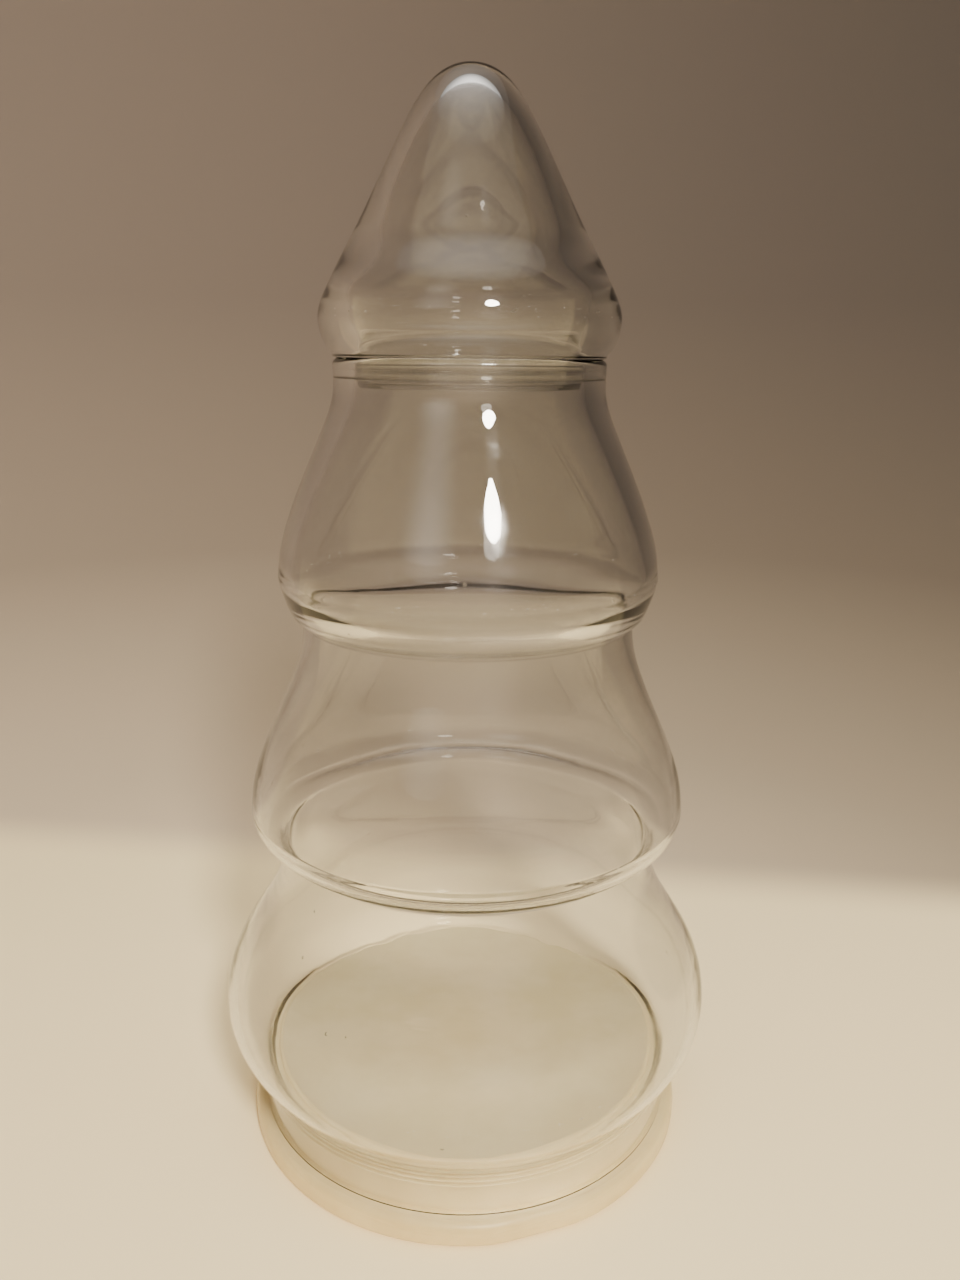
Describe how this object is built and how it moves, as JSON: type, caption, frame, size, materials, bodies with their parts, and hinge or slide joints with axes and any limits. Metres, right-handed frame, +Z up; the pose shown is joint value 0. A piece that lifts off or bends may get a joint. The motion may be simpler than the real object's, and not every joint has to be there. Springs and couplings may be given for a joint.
{
  "type": "tree-shaped glass jar",
  "caption": "Clear glass jar in stacked flared tiers like a Christmas tree, with a lift-off pointed glass lid and a milky plastic stopper as its foot.",
  "frame": {"origin": "centre of the foot, on the surface that the jar stands on", "axes": "+Z up along the jar's axis; the jar is a solid of revolution, so X and Y are free"},
  "size_m": [0.1432, 0.1432, 0.293],
  "materials": {
    "clear_glass": "clear blown glass, fire polished",
    "stopper_plastic": "milky translucent soft plastic",
    "seal_plastic": "clear soft plastic"
  },
  "bodies": {
    "stopper": {"base_stopper": "stopper_plastic"},
    "jar": {"jar_body": "clear_glass"},
    "lid": {"lid": "clear_glass", "lid_seal": "seal_plastic"}
  },
  "joints": [
    {"name": "jar_lift", "type": "slide", "parent": "stopper", "child": "jar", "axis": [0, 0, 1], "range_m": [0, 0.06]},
    {"name": "lid_lift", "type": "slide", "parent": "jar", "child": "lid", "axis": [0, 0, 1], "range_m": [0, 0.06]}
  ]
}
